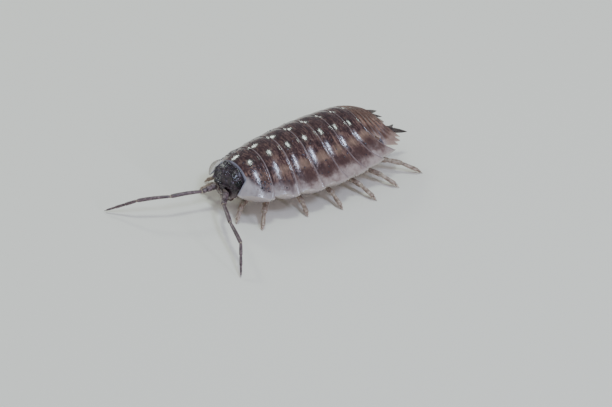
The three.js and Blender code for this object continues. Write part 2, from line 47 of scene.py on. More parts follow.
# Plate sizes repeat the solid frame: hind edge on the midline, half width and how far the corner sweeps back
shell = {
    "pereonEnds": [3.54, 5.3, 6.85, 8.35, 9.72, 11.0, 12.17],
    "pereonWidths": [3.15, 3.62, 3.92, 4.02, 3.95, 3.78, 3.45],
    "pereonSweeps": [-0.45, -0.3, 0.2, 0.78, 1.17, 1.5, 1.6],
    "pleonEnds": [12.58, 12.98, 13.38, 13.78, 14.16],
    "pleonWidths": [2.3, 2.45, 2.95, 2.55, 2.1],
    "pleonSweeps": [0.05, 0.15, 1.05, 1.15, 1.12],
    "belly": 1.5,
    "pleonBelly": 2.15,
    "lip": 0.09,
    "step": 0.22,
    "tuck": 0.24,
    "notch": 0.3,
    "bulge": 0.12,
    "sweepPower": 3.8,
    "edgeThickness": 0.13,
    "stations": 96,
    "rows": 34,
    "frontCorner": (1.62, 0.82),
    "shoulder": (2.6, 1.75),
    "telsonTip": 15.45,
    "backLineAt": [0, 0.9, 1.9, 3.5, 5.3, 8.4, 11, 12.2, 13.2, 14.2, 15.5],
    "backLineZ": [2.55, 3.24, 3.66, 4.07, 4.28, 4.39, 4.25, 4.08, 3.72, 3.2, 2.35],
    "edgeLineAt": [0.75, 1.15, 1.8, 3, 5, 7, 9.1, 10.9, 12.5, 13.8, 15.5],
    "edgeLineZ": [2.25, 1.94, 1.82, 1.78, 1.66, 1.6, 1.63, 1.73, 1.88, 1.98, 1.8],
}
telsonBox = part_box("telson")
shiftX = (telsonBox[0][0] + telsonBox[1][0]) / 2 / mm
shiftY = telsonBox[1][1] / mm - shell["telsonTip"]


def toRow(p):
    return Vector(((p[0] + shiftX) * mm, (p[1] + shiftY) * mm, p[2] * mm))


# A place given for the animal's left side, or its mirror image when side is -1
def mirrored(place, side):
    return Vector((side * place[0], place[1], place[2]))


def mix(a, b, t):
    return a + (b - a) * t


def ease(low, high, value):
    t = min(max((value - low) / (high - low), 0), 1)
    return t * t * (3 - 2 * t)


# A smooth curve through a few heights, read anywhere between them
def through(stations, values):
    last = len(stations) - 1
    slopes = []
    for i in range(last + 1):
        before, after = max(i - 1, 0), min(i + 1, last)
        slopes.append((values[after] - values[before]) / (stations[after] - stations[before]))

    def read(where):
        at = min(max(where, stations[0]), stations[last])
        i = 0
        while i < last - 1 and stations[i + 1] < at:
            i += 1
        span = stations[i + 1] - stations[i]
        t = (at - stations[i]) / span
        keep = (1 + 2 * t) * (1 - t) ** 2 * values[i] + t * t * (3 - 2 * t) * values[i + 1]
        bend = t * (1 - t) ** 2 * span * slopes[i] + t * t * (t - 1) * span * slopes[i + 1]
        return keep + bend

    return read


backLine = through(shell["backLineAt"], shell["backLineZ"])
edgeLine = through(shell["edgeLineAt"], shell["edgeLineZ"])


# Finishes

# An sRGB hex code as a linear colour
def hexColour(code):
    channels = [int(code[i:i + 2], 16) / 255 for i in (1, 3, 5)]
    linear = [c / 12.92 if c <= 0.04045 else ((c + 0.055) / 1.055) ** 2.4 for c in channels]
    return (*linear, 1.0)


# Adds one node with its settings and inputs, which are named or in order. An input is a value, a socket, or a
# node for its first output. Stops fill a colour ramp.
def addNode(tree, kind, settings=None, inputs=(), stops=None):
    node = tree.nodes.new(kind)
    for key, value in (settings or {}).items():
        setattr(node, key, value)
    for key, value in inputs.items() if isinstance(inputs, dict) else enumerate(inputs):
        source = value.outputs[0] if isinstance(value, bpy.types.Node) else value
        if isinstance(source, bpy.types.NodeSocket):
            tree.links.new(source, node.inputs[key])
        else:
            node.inputs[key].default_value = source
    if stops:
        elements = node.color_ramp.elements
        for element, (position, code) in zip(elements, (stops[0], stops[-1])):
            element.position = position
            element.color = hexColour(code)
        for position, code in stops[1:-1]:
            elements.new(position).color = hexColour(code)
    return node


def newMaterial(name):
    material = bpy.data.materials.new(name)
    material.use_nodes = True
    material.node_tree.nodes.clear()
    shader = addNode(material.node_tree, "ShaderNodeBsdfPrincipled")
    addNode(material.node_tree, "ShaderNodeOutputMaterial", {}, {"Surface": shader})
    return material, shader


# Small relief that breaks up the shine, depth in millimetres
def addRelief(tree, shader, height, strength, depth):
    bump = addNode(tree, "ShaderNodeBump", {},
                   {"Height": height, "Strength": strength, "Distance": depth * mm})
    tree.links.new(bump.outputs["Normal"], shader.inputs["Normal"])


# Light goes a little way into the cuticle, red the furthest
def letLightIn(shader, ior, weight):
    shader.inputs["IOR"].default_value = ior
    shader.inputs["Subsurface Weight"].default_value = weight
    shader.inputs["Subsurface Radius"].default_value = (0.9, 0.6, 0.5)
    shader.inputs["Subsurface Scale"].default_value = 0.2 * mm


# Colours of a plate, sizes of its pattern in millimetres, and how it shines
shellLook = {
    "dark": "#2f1a1e",
    "mid": "#593c3c",
    "light": "#8a6a5e",
    "paleSpot": "#9f8270",
    "blotch": "#4a302f",
    "skirt": "#b3a19d",
    "skirtDark": "#7a615d",
    "frontSkirt": "#b4b0b6",
    "frontReach": (2.2, 6.5),
    "rim": "#b9aca2",
    "hindBand": "#8d7c7d",
    # A painted highlight: a pale bluish glint line along each plate's front edge, seen only on plate 1
    "paintedFrontGlint": "#a7a3b4",
    "streakLength": 0.9,
    "streakWidth": 0.15,
    "streakShift": 1.2,
    "plateArc": 10.0,
    "plateLength": 1.6,
    "mottleSize": 0.3,
    "blurSize": 0.72,
    "pitSize": 0.12,
    "roughness": 0.13,
    "streakRelief": 0.22,
    "pitRelief": 0.3,
    "reliefStrength": 0.26,
    "reliefDepth": 0.03,
}

# Where the marks lie: across is 0 on the midline and 1 at the side, along is 0 in front and 1 behind. A range
# says where a mark begins and is whole, then how much of it shows there; a cover is its loss in front and its
# strength behind; ragged is how far noise moves a border.
plateMarks = {
    "mottle": (0.42, 0.51, 0.6),
    "skirtMottle": (0.36, 0.66),
    "ragged": 1.9,
    "flankRagged": 0.2,
    "skirtRagged": 0.17,
    "skirtClear": (1.6, -1.408),
    "middleDarker": 0.55,
    "flank": (0.2, 0.55, 0, 1),
    "skirt": (0.7, 0.9, 0, 1),
    "rim": (0.965, 0.99, 0, 0.8),
    "hindBand": (0.925, 0.965, 0, 0.8),
    # The painted front highlight lies along the front edge
    "paintedFrontGlint": (0, 0.03, 1, 0),
    "spotBorder": (0.4, 1.2, 1, 0),
    "spot": ((0.6, 0.6, 0), (0.085, 0.34, 1)),
    "spotCover": (-0.4, 0.58),
    "blotch": ((0.755, 0.56, 0), (0.11, 0.46, 1)),
    "blotchCover": (-0.55, 0.85),
    "pit": (0, 0.5),
    "sheen": (0.3, 0.7),
}


# How much of a soft round spot shows at each place of the plate
def spotMask(tree, place, centre, reach, wobble):
    local = addNode(tree, "ShaderNodeMapping", {"vector_type": "TEXTURE"},
                    {"Vector": place, "Location": centre, "Scale": reach})
    distance = addNode(tree, "ShaderNodeVectorMath", {"operation": "LENGTH"}, [local]).outputs["Value"]
    ragged = addNode(tree, "ShaderNodeMath", {"operation": "ADD"}, [distance, wobble])
    return addNode(tree, "ShaderNodeMapRange", {}, [ragged, *plateMarks["spotBorder"]])


# Chitin plate: shiny, dark and streaked in the middle with a clear greyer skirt, so light breaks into streaks
def shellCuticle(look, name):
    material, shader = newMaterial(name)
    tree = material.node_tree
    marks = plateMarks
    add, times, timesAdd = [{"operation": kind} for kind in ("ADD", "MULTIPLY", "MULTIPLY_ADD")]
    body = addNode(tree, "ShaderNodeTexCoord").outputs["Object"]
    bodyY = addNode(tree, "ShaderNodeSeparateXYZ", {}, [body]).outputs["Y"]
    uv = addNode(tree, "ShaderNodeUVMap", {"uv_map": "Plate"})
    fromLeft, along = addNode(tree, "ShaderNodeSeparateXYZ", {}, [uv]).outputs[:2]
    centred = addNode(tree, "ShaderNodeMath", {"operation": "SUBTRACT"}, [fromLeft, 0.5])
    sideways = addNode(tree, "ShaderNodeMath", {"operation": "ABSOLUTE"}, [centred])
    across = addNode(tree, "ShaderNodeMath", times, [sideways, 2])
    place = addNode(tree, "ShaderNodeCombineXYZ", {}, [across, along])

    blur = addNode(tree, "ShaderNodeTexNoise", {},
                   {"Vector": body, "Scale": 1 / (look["blurSize"] * mm), "Detail": 4, "Roughness": 0.6})
    wobble = addNode(tree, "ShaderNodeMath", timesAdd, [blur, marks["ragged"], -marks["ragged"] / 2])
    worm = addNode(tree, "ShaderNodeTexNoise", {},
                   {"Vector": body, "Scale": 1 / (look["mottleSize"] * mm), "Detail": 5, "Roughness": 0.62,
                    "Distortion": 1.2})
    arc = addNode(tree, "ShaderNodeMath", times, [fromLeft, look["plateArc"] / look["streakLength"]])
    back = addNode(tree, "ShaderNodeMath", times, [along, look["plateLength"] / look["streakWidth"]])
    own = addNode(tree, "ShaderNodeMath", times, [bodyY, 1 / (look["streakShift"] * mm)])
    streakPlace = addNode(tree, "ShaderNodeCombineXYZ", {}, [arc, back, own])
    streaks = addNode(tree, "ShaderNodeTexNoise", {},
                      {"Vector": streakPlace, "Scale": 1, "Detail": 4, "Distortion": 0.5})

    both = addNode(tree, "ShaderNodeMath", add, [streaks, worm])
    pattern = addNode(tree, "ShaderNodeMath", times, [both, 0.5])
    mottle = addNode(tree, "ShaderNodeValToRGB", {}, [pattern],
                     list(zip(marks["mottle"], (look["dark"], look["mid"], look["light"]))))
    middle = addNode(tree, "ShaderNodeMath", timesAdd, [wobble, marks["flankRagged"], across])
    flank = addNode(tree, "ShaderNodeMapRange", {}, [middle, *marks["flank"]])

    near, far = [(reach + shiftY) * mm for reach in look["frontReach"]]
    forward = addNode(tree, "ShaderNodeMapRange", {}, [bodyY, near, far, 1, 0])
    covers = []
    for mark in ("spot", "blotch"):
        mask = spotMask(tree, place, *marks[mark], wobble)
        strength = addNode(tree, "ShaderNodeMath", timesAdd, [forward, *marks[mark + "Cover"]])
        covers.append(addNode(tree, "ShaderNodeMath", times, [mask, strength]))

    edge = addNode(tree, "ShaderNodeMath", timesAdd, [wobble, marks["skirtRagged"], across])
    skirt = addNode(tree, "ShaderNodeMapRange", {}, [edge, *marks["skirt"]])
    outwards = addNode(tree, "ShaderNodeMath", timesAdd, [across, *marks["skirtClear"]])
    thinness = addNode(tree, "ShaderNodeMath", add, [blur, outwards])
    skirtMottle = addNode(tree, "ShaderNodeValToRGB", {}, [thinness],
                          list(zip(marks["skirtMottle"], (look["skirtDark"], look["skirt"]))))
    cloudy = addNode(tree, "ShaderNodeMath", add, [worm, 0.1])
    patchy = addNode(tree, "ShaderNodeMath", times, [forward, cloudy])

    blend = {"data_type": "RGBA"}
    dark, milk = hexColour(look["dark"]), hexColour(look["frontSkirt"])
    darker = addNode(tree, "ShaderNodeMix", blend, {0: marks["middleDarker"], 6: mottle, 7: dark})
    milky = addNode(tree, "ShaderNodeMix", blend, {0: patchy, 6: skirtMottle, 7: milk})
    colour = darker.outputs[2]
    layers = [
        (flank, mottle),
        (covers[0], hexColour(look["paleSpot"])),
        (skirt, milky.outputs[2]),
        (covers[1], hexColour(look["blotch"])),
    ]
    # Pale hind band and side rim, then the painted highlight along the front edge
    for mark, where in (("hindBand", along), ("paintedFrontGlint", along), ("rim", across)):
        layers.append((addNode(tree, "ShaderNodeMapRange", {}, [where, *marks[mark]]), hexColour(look[mark])))
    for mask, over in layers:
        colour = addNode(tree, "ShaderNodeMix", blend, {0: mask, 6: colour, 7: over}).outputs[2]
    tree.links.new(colour, shader.inputs["Base Color"])

    pits = addNode(tree, "ShaderNodeTexVoronoi", {}, {"Vector": body, "Scale": 1 / (look["pitSize"] * mm)})
    pitHeight = addNode(tree, "ShaderNodeMapRange", {}, [pits, *marks["pit"], look["pitRelief"], 0])
    height = addNode(tree, "ShaderNodeMath", timesAdd, [streaks, look["streakRelief"], pitHeight])
    addRelief(tree, shader, height, look["reliefStrength"], look["reliefDepth"])
    smoothest, roughest = look["roughness"] - 0.05, look["roughness"] + 0.1
    rough = addNode(tree, "ShaderNodeMapRange", {}, [worm, *marks["sheen"], smoothest, roughest])
    tree.links.new(rough.outputs[0], shader.inputs["Roughness"])
    letLightIn(shader, 1.56, 0.1)
    return material


# Soft cuticle with a noise mottle between its colours and a fine grain; foot fades it to one colour low down
def mottledCuticle(name, colours, mottle, roughness, grain, depth, subsurface=0.1, foot=None):
    material, shader = newMaterial(name)
    tree = material.node_tree
    body = addNode(tree, "ShaderNodeTexCoord").outputs["Object"]
    worm = addNode(tree, "ShaderNodeTexNoise", {},
                   {"Vector": body, "Scale": 1 / (mottle * mm), "Detail": 4, "Distortion": 0.8})
    places = (0.34, 0.68) if len(colours) == 2 else (0.34, 0.5, 0.7)
    colour = addNode(tree, "ShaderNodeValToRGB", {}, [worm], list(zip(places, colours))).outputs["Color"]
    if foot:
        lowest, highest, footColour = foot
        bodyZ = addNode(tree, "ShaderNodeSeparateXYZ", {}, [body]).outputs["Z"]
        level = addNode(tree, "ShaderNodeMath", {"operation": "MULTIPLY_ADD"}, [worm, 0.5 * mm, bodyZ])
        low = addNode(tree, "ShaderNodeMapRange", {}, [level, lowest * mm, highest * mm, 1, 0])
        faded = addNode(tree, "ShaderNodeMix", {"data_type": "RGBA"},
                        {0: low, 6: colour, 7: hexColour(footColour)})
        colour = faded.outputs[2]
    tree.links.new(colour, shader.inputs["Base Color"])
    cells = addNode(tree, "ShaderNodeTexVoronoi", {}, {"Vector": body, "Scale": 1 / (grain * mm)})
    addRelief(tree, shader, cells, 0.4, depth)
    smoothest, roughest = roughness - 0.05, roughness + 0.08
    rough = addNode(tree, "ShaderNodeMapRange", {}, [worm, *plateMarks["sheen"], smoothest, roughest])
    tree.links.new(rough.outputs[0], shader.inputs["Roughness"])
    letLightIn(shader, 1.54, subsurface)
    return material


print("finishes")
# Glossy body plates: long wet glints over brown mottling
shellMaterial = shellCuticle(shellLook, "shinyShellCuticle")

# The tail is duller and pinker, so its glints are broad and soft
tailLook = dict(shellLook, dark="#4c302a", mid="#7a564a", light="#a17b6b", paleSpot="#947265",
                blotch="#573a33", skirt="#a2877d", skirtDark="#7d6158", rim="#bba294", hindBand="#967468",
                plateLength=0.5, roughness=0.38)
tailMaterial = shellCuticle(tailLook, "tailCuticle")

# Every other finish: colours from dark to light, mottle size, roughness, grain size and depth, how much light
# goes in, and for the head the heights and the colour of its foot
finishes = {
    # Nearly black with a fine granite grain, paler towards its foot
    "graniteHeadCuticle": (["#160c13", "#281920", "#4d3a46"], 0.3, 0.24, 0.1, 0.02, 0.1,
                           (1.75, 2.35, "#7a6a68")),
    # Small beads that each catch a bright point
    "polishedGranules": (["#221a22", "#3d3540", "#6b606e"], 0.25, 0.12, 0.08, 0.003),
    # Black and wet
    "blackEyeLens": (["#050507", "#0d0c10"], 0.2, 0.12, 0.08, 0.002, 0),
    # Dull feelers with a faint mottle
    "greyBrownAntenna": (["#3f3035", "#614e53", "#8c7779"], 0.22, 0.42, 0.05, 0.008),
    # Straw legs that let light through at their edges
    "strawLegCuticle": (["#7b675b", "#a48f82", "#c9b8ab"], 0.3, 0.36, 0.06, 0.008, 0.25),
    # Paler matt skin that marks each joint
    "paleJointSkin": (["#8f7d6e", "#b3a391"], 0.2, 0.5, 0.04, 0.006, 0.3),
    # Whitish underside, soft against the dark back
    "paleBellyCuticle": (["#a2958a", "#c6bbad", "#ddd5c9"], 0.5, 0.45, 0.08, 0.01, 0.25),
    # Lower face and antenna sockets, between the dark head and the pale belly
    "paleFaceCuticle": (["#4d4040", "#7d6d68", "#a3948b"], 0.25, 0.35, 0.06, 0.01, 0.2),
    # Jaws, darker and glossier than the plates round them
    "chestnutJaw": (["#35211a", "#5d3d2d"], 0.2, 0.3, 0.06, 0.006),
    # Bristles that soften the outline of feelers and legs
    "paleBristle": (["#8c7d72", "#b5a699"], 0.3, 0.4, 0.05, 0.002),
    # Dark spikes that end the tail
    "darkUropodCuticle": (["#251c1e", "#40342f", "#64544f"], 0.25, 0.36, 0.06, 0.01),
}
skin = {name: mottledCuticle(name, *settings) for name, settings in finishes.items()}


# Meshes from rings

def signedVolume(verts, faces):
    total = 0.0
    for face in faces:
        a = verts[face[0]]
        for i in range(1, len(face) - 1):
            total += a.dot(verts[face[i]].cross(verts[face[i + 1]])) / 6
    return total


# Fills a thin end ring by stitching its top run of points to the run underneath
def zipCap(base, count, topCount):
    top = [base + k for k in range(topCount)]
    under = [base] + [base + k for k in range(count - 1, topCount - 1, -1)] + [top[-1]]
    faces = []
    i = j = 0
    while i < len(top) - 1 or j < len(under) - 1:
        if i / (len(top) - 1) <= j / (len(under) - 1):
            corner = (top[i + 1], top[i], under[j])
            i += 1
        else:
            corner = (under[j + 1], top[i], under[j])
            j += 1
        if len(set(corner)) == 3:
            faces.append(corner)
    return faces


# Skins a row of rings, closes both ends with a fan, or a zip where topCount is given, and faces it outwards
def loftRings(rings, topCount=0):
    count = len(rings[0])
    verts = [Vector(p) for ring in rings for p in ring]
    faces = []
    for r in range(len(rings) - 1):
        for k in range(count):
            a, b = r * count + k, r * count + (k + 1) % count
            faces.append((a, b, b + count, a + count))
    lastRing = (len(rings) - 1) * count
    if topCount:
        faces += zipCap(0, count, topCount)
        faces += [tuple(reversed(face)) for face in zipCap(lastRing, count, topCount)]
    else:
        for start, step in ((0, -1), (lastRing, 1)):
            middle = Vector((0, 0, 0))
            for k in range(count):
                middle += verts[start + k] / count
            verts.append(middle)
            for k in range(count):
                pair = (start + k, start + (k + 1) % count)[::step]
                faces.append((len(verts) - 1, *pair))
    if signedVolume(verts, faces) < 0:
        faces = [tuple(reversed(face)) for face in faces]
    return verts, faces


def meshPiece(name, verts, faces, materials, faceMaterial=None, uvs=None, attributes=None):
    mesh = bpy.data.meshes.new(name)
    mesh.from_pydata([toRow(v) for v in verts], [], faces)
    for material in materials:
        mesh.materials.append(material)
    for i, polygon in enumerate(mesh.polygons):
        polygon.use_smooth = True
        if faceMaterial:
            polygon.material_index = faceMaterial[i]
    if uvs:
        layer = mesh.uv_layers.new(name="Plate")
        for loop in mesh.loops:
            layer.data[loop.index].uv = uvs[loop.vertex_index]
    for key, (kind, values) in (attributes or {}).items():
        attribute = mesh.attributes.new(key, kind, "POINT")
        for i, value in enumerate(values):
            if kind == "FLOAT":
                attribute.data[i].value = value
            else:
                attribute.data[i].vector = value
    piece = bpy.data.objects.new(name, mesh)
    bpy.context.scene.collection.objects.link(piece)
    return piece


def settle(piece, slot, *nodes):
    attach(piece, "root")
    if nodes:
        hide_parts(*nodes)
    return piece


# The domed back

def plateList(prefix, ends, widths, sweeps, tuck, belly):
    return [{"name": f"{prefix}_{i + 1}", "end": ends[i], "width": widths[i], "sweep": sweeps[i],
             "tuck": tuck, "belly": belly} for i in range(len(ends))]


pereon = plateList("pereonite", shell["pereonEnds"], shell["pereonWidths"], shell["pereonSweeps"],
                   shell["tuck"], shell["belly"])
pereon[-1]["tuck"] = 0
pleon = plateList("pleonite", shell["pleonEnds"], shell["pleonWidths"], shell["pleonSweeps"], 0,
                  shell["pleonBelly"])
sidePlates = pereon + pleon[2:]
cornerX, cornerY = shell["frontCorner"]
shoulderX, shoulderY = shell["shoulder"]
sideEnds = [p["end"] + p["sweep"] for p in sidePlates]
outline = through([cornerY, shoulderY] + sideEnds + [shell["telsonTip"] + 0.4],
                  [cornerX, shoulderX] + [p["width"] for p in sidePlates] + [1.6])


def domeShare(share):
    return (1 - min(abs(share), 1) ** 2.09) ** 1.3


def domeHeight(x, y):
    return mix(edgeLine(y), backLine(y), domeShare(x / outline(y)))


def hindEdge(plate, x):
    return plate["end"] + plate["sweep"] * min(abs(x) / plate["width"], 1) ** shell["sweepPower"]


def tuckAt(plate, x):
    return plate["tuck"] * (1 - min(abs(x) / plate["width"], 1) ** 4)


# Flat in the middle, then hollow under the thin side plates
def undersideHeight(x, y, topZ, belly):
    share = abs(x) / outline(y)
    thickness = mix(0.34, shell["edgeThickness"], ease(0.55, 0.95, share))
    return mix(min(belly, topZ - 0.2), topZ - thickness, ease(0.58, 0.72, share))


# Heights in millimetres, and places as a share of the plate's open length
relief = {
    "band": 0.07,
    "sink": 0.05,
    "grooveDepth": 0.035,
    "grooveAt": 0.87,
    "lipHeight": 0.035,
    "lipAt": 0.955,
    "spread": 0.04,
    "sideFade": 0.6,
    "endDrop": 0.02,
}


# Height added to a plate from its front to its hind edge: a convex band, a groove, then a rolled lip
def plateRelief(exposed, share):
    band = relief["band"] * math.sin(math.pi * min(exposed * 1.1, 1)) - relief["sink"]
    groove = -relief["grooveDepth"] * math.exp(-(((exposed - relief["grooveAt"]) / relief["spread"]) ** 2))
    lip = relief["lipHeight"] * math.exp(-(((exposed - relief["lipAt"]) / relief["spread"]) ** 2))
    fade = 1 - relief["sideFade"] * share ** 6
    return (band + groove + lip) * fade - relief["endDrop"] * ease(0.97, 1.0, exposed)


# One ring of a plate: over the top from front to back, round the hind lip and back underneath
def plateRing(plate, front, share):
    frontX = share * front["width"]
    frontY = front["edgeY"](frontX)
    hindX = share * plate["width"]
    hindY = hindEdge(plate, hindX)
    buriedY = frontY - front["tuckAt"](frontX) + 0.06
    rounding = max(math.sqrt(max(1 - abs(share) ** 24, 0)), 0.12)
    points = []
    rows = shell["rows"]
    for k in range(rows + 1):
        t = (k / rows) ** 0.9
        halfWidth = mix(front["width"], plate["width"], 1 - (1 - t) ** 2) + shell["bulge"] * 4 * t * (1 - t)
        halfWidth -= 0.05 * t ** 14
        x = share * halfWidth
        y = mix(buriedY, hindY, t)
        exposed = min(max((y - frontY) / max(hindY - frontY, 0.05), 0), 1)
        z = domeHeight(x, y) - front["drop"] * (1 + 0.4 * share ** 4) * (1 - exposed) ** 2.2
        z += plateRelief(exposed, share)
        points.append(((x, y, z), t))
    topEnd = points[-1][0]
    lip = shell["lip"] * rounding
    tuck = max(tuckAt(plate, hindX), 0.03)
    lastX = share * (plate["width"] - 0.05)
    under = [
        (lastX, hindY + 0.012, topEnd[2] - lip * 0.45),
        (lastX, hindY - 0.01, topEnd[2] - lip),
        (lastX, hindY - tuck * 0.5, domeHeight(lastX, hindY - tuck * 0.5) - lip - 0.04),
    ]
    innerY = hindY - tuck
    for k in range(9):
        t = k / 8
        x = mix(share * (plate["width"] - 0.07), frontX, t)
        y = mix(innerY, buriedY, t)
        topZ = domeHeight(x, y) - front["drop"] * (1 - ease(0, 1, (y - frontY) / 0.8)) - lip * (1 - t) * 0.6
        z = mix(topZ - 0.04, undersideHeight(x, y, topZ, plate["belly"]), rounding)
        under.append((x, y, z))
    ring = [p for p, t in points] + under
    alongs = [t for p, t in points] + [1.0] * (len(under) - 1) + [0.0]
    return ring, alongs


def shellPlate(plate, front, material, slot):
    rings, uvs = [], []
    stations = shell["stations"]
    for k in range(stations + 1):
        share = math.sin(math.pi / 2 * (-1 + 2 * k / stations))
        ring, alongs = plateRing(plate, front, share)
        rings.append(ring)
        uvs += [(0.5 + 0.5 * share, t) for t in alongs]
    count = len(rings[0])
    topRows = shell["rows"] + 2
    verts, faces = loftRings(rings, shell["rows"] + 1)
    kinds = []
    for face in faces:
        spots = [i % count for i in face]
        onFront = 0 in spots and count - 1 in spots
        atSide = abs(uvs[face[0]][0] - 0.5) * 2 > 0.9
        kinds.append(0 if onFront or atSide or max(spots) <= topRows else 1)
    grit = through([0, 2.2, 3.6, 7, 16], [1.0, 1.0, 0.45, 0.22, 0.1])
    cover = []
    for i, v in enumerate(verts):
        share = abs(uvs[i][0] - 0.5) * 2
        onTop = i % count < shell["rows"]
        inside = ease(0.12, 0.4, share) * (1 - ease(0.82, 0.9, share)) * ease(0.15, 0.3, uvs[i][1])
        cover.append(grit(v[1]) * inside * (1 - ease(0.85, 0.93, uvs[i][1])) if onTop else 0.0)
    materials = [material, skin["paleBellyCuticle"]]
    piece = meshPiece(plate["name"] + "_shell", verts, faces, materials, kinds, uvs, {"cover": ("FLOAT", cover)})
    return settle(piece, slot, plate["name"])


def frontBehind(before, wide=None):
    return {
        "width": before["width"] - shell["notch"],
        "drop": shell["step"],
        "edgeY": lambda x: max(hindEdge(before, x), hindEdge(wide, x) if wide else 0),
        "tuckAt": lambda x: tuckAt(before, x),
    }


# The head's sizes stand here because plate 1 fits round its hind edge
head = {
    "front": 0.46,
    "end": 1.78,
    "halfWidth": 1.3,
    "middle": (0, 1.1, 2.2),
    "faceFoot": (0.78, 1.3),
    "floor": 1.28,
    "sideHeight": 2.3,
    "brim": 0.16,
    "middleLobe": 0.08,
    "sideLobe": 0.2,
    "cheek": 0.24,
    "eyePlace": (1.14, 1.3, 2.68),
    "eyeRadii": (0.19, 0.28, 0.25),
    "eyeTurn": -0.5,
    "lenses": 46,
    "lensRadius": 0.055,
    "eyeRing": 0.33,
    "eyeRingWidth": 0.09,
    "eyeRingHeight": 0.03,
    "grooveAt": 1.42,
    "grooveWidth": 0.05,
    "grooveDepth": 0.03,
    "bumps": [(0.02, 3.1), (0.008, 9.0)],
    "stations": 120,
    "around": 96,
}
firstFront = {
    "width": cornerX,
    "drop": 0.06,
    "edgeY": lambda x: mix(head["end"], cornerY, ease(head["halfWidth"] + 0.06, cornerX, abs(x))),
    "tuckAt": lambda x: 0,
}


def makeShell():
    pieces = []
    for i, plate in enumerate(pereon):
        front = frontBehind(pereon[i - 1]) if i else firstFront
        pieces.append(shellPlate(plate, front, shellMaterial, "shell"))
    for i, plate in enumerate(pleon):
        before = pleon[i - 1] if i else pereon[-1]
        front = frontBehind(before, pereon[-1])
        front["width"] = min(front["width"], plate["width"])
        if i == 2:
            front["width"] = plate["width"] - shell["notch"] / 2
        pieces.append(shellPlate(plate, front, tailMaterial, "tail"))
    return pieces


print("shell plates")
shellPieces = makeShell()


# Tubes and limb articles

def tubeRings(path, radii, flatness, sides, across):
    rings = []
    for i, centre in enumerate(path):
        before, after = path[max(i - 1, 0)], path[min(i + 1, len(path) - 1)]
        axis = (after - before).normalized()
        side = (across - axis * across.dot(axis)).normalized()
        up = axis.cross(side)
        ring = []
        for k in range(sides):
            angle = 2 * math.pi * k / sides
            ring.append(centre + side * radii[i] * math.cos(angle)
                        + up * radii[i] * flatness * math.sin(angle))
        rings.append(ring)
    return rings


def levelAcross(along):
    across = Vector((-along.y, along.x, 0))
    return across.normalized() if across.length > 0.05 * along.length else Vector((1, 0, 0))


# Gathers closed forms into one piece; kind picks the finish and cover says how thickly hairs may stand
class Builder:
    def __init__(self):
        self.verts, self.faces, self.kinds, self.cover, self.lie = [], [], [], [], []

    def add(self, rings, kind=0, cover=0.0, lie=Vector((0, 0, -1))):
        verts, faces = loftRings(rings)
        base = len(self.verts)
        self.verts += verts
        self.faces += [tuple(i + base for i in face) for face in faces]
        self.kinds += [kind] * len(faces)
        self.cover += [cover if v.z > 0.25 else 0.0 for v in verts]
        self.lie += [lie] * len(verts)

    def piece(self, name, materials):
        return meshPiece(name, self.verts, self.faces, materials, self.kinds, None,
                         {"cover": ("FLOAT", self.cover), "lie": ("FLOAT_VECTOR", self.lie)})


# One article: narrow at its root, swelling towards a rimmed far end, bowed upwards by bow
def addArticle(builder, start, end, startRadius, endRadius, flatness=0.85, sides=16, cover=1.0, bow=0.0):
    along = end - start
    across = levelAcross(along)
    lifted = across.cross(along.normalized())
    if lifted.z < 0:
        lifted = -lifted
    shape = [(0, 0.5), (0.02, 0.76), (0.08, 0.88), (0.22, 0.97), (0.45, 1.03), (0.7, 1.06), (0.88, 1.06),
             (0.955, 1.02), (0.985, 0.86), (1.0, 0.5)]
    path = [start + along * t + lifted * (bow * math.sin(math.pi * t)) for t, _ in shape]
    radii = [mix(startRadius, endRadius, t) * swell for t, swell in shape]
    builder.add(tubeRings(path, radii, flatness, sides, across), 0, cover, along.normalized())


# The rings of a round form; place turns how far a point lies along its axis and to two sides into a point
def roundRings(rows, sides, place):
    rings = []
    for k in range(1, rows):
        angle = math.pi * k / rows
        ring = []
        for j in range(sides):
            turn = 2 * math.pi * j / sides
            wide = math.sin(angle)
            ring.append(place(math.cos(angle), wide * math.cos(turn), wide * math.sin(turn)))
        rings.append(ring)
    return rings


def addBall(builder, centre, radius, kind=1, sides=12):
    builder.add(roundRings(8, sides, lambda a, b, c: centre + Vector((b, c, a)) * radius), kind)


# A flattened round form with three half axes
def addLozenge(builder, centre, axisX, axisY, axisZ, kind=0):
    builder.add(roundRings(12, 24, lambda a, b, c: centre + axisX * a + axisY * b + axisZ * c), kind)


